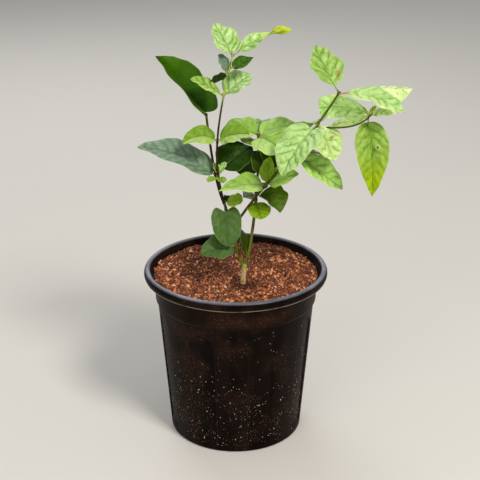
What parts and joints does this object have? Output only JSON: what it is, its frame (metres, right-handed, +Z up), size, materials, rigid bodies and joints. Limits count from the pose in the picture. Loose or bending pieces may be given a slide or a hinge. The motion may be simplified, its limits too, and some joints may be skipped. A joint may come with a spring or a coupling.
{
  "type": "potted jasmine",
  "caption": "Young jasmine shrub with forked stems and mottled oval leaves, growing in a tapered round nursery pot with shallow flutes and a turned-over lip, filled with crumbly potting mix.",
  "frame": {"origin": "centre of the pot's flat underside", "axes": "+Z up the plant, +X to the right and -Y towards the viewer of the pictured side"},
  "size_m": [0.2111, 0.15, 0.3405],
  "materials": {
    "pot": "satin",
    "potting_mix": "matte",
    "trunk_bark": "matte",
    "green_bark": "matte",
    "brown_bark": "matte",
    "olive_bark": "matte",
    "pale_leaf": "satin",
    "light_leaf": "satin",
    "mid_leaf": "satin",
    "deep_leaf": "gloss",
    "blue_leaf": "gloss"
  },
  "bodies": {
    "root": {"pot": "pot", "potting_mix": "potting_mix", "trunk": "trunk_bark", "left_stem": "green_bark", "right_stem": "green_bark", "tall_bough": "brown_bark", "outer_bough": "brown_bark", "leaning_bough": "olive_bark", "side_bough": "olive_bark", "outer_tip_leaf": "deep_leaf", "outer_mid_leaves": "blue_leaf", "tall_young_leaves": "light_leaf", "tall_mid_leaves": "light_leaf", "tall_high_leaves": "pale_leaf", "tall_top_leaves": "pale_leaf", "right_round_leaf": "mid_leaf", "right_low_leaves": "mid_leaf", "right_mid_leaves": "deep_leaf", "right_top_leaves": "light_leaf", "leaning_low_leaves": "mid_leaf", "leaning_mid_leaves": "mid_leaf", "leaning_high_leaves": "pale_leaf", "leaning_top_leaves": "pale_leaf", "side_top_leaves": "light_leaf", "fork_leaves": "blue_leaf", "left_low_leaves": "blue_leaf", "right_foot_leaf": "deep_leaf"}
  },
  "joints": []
}
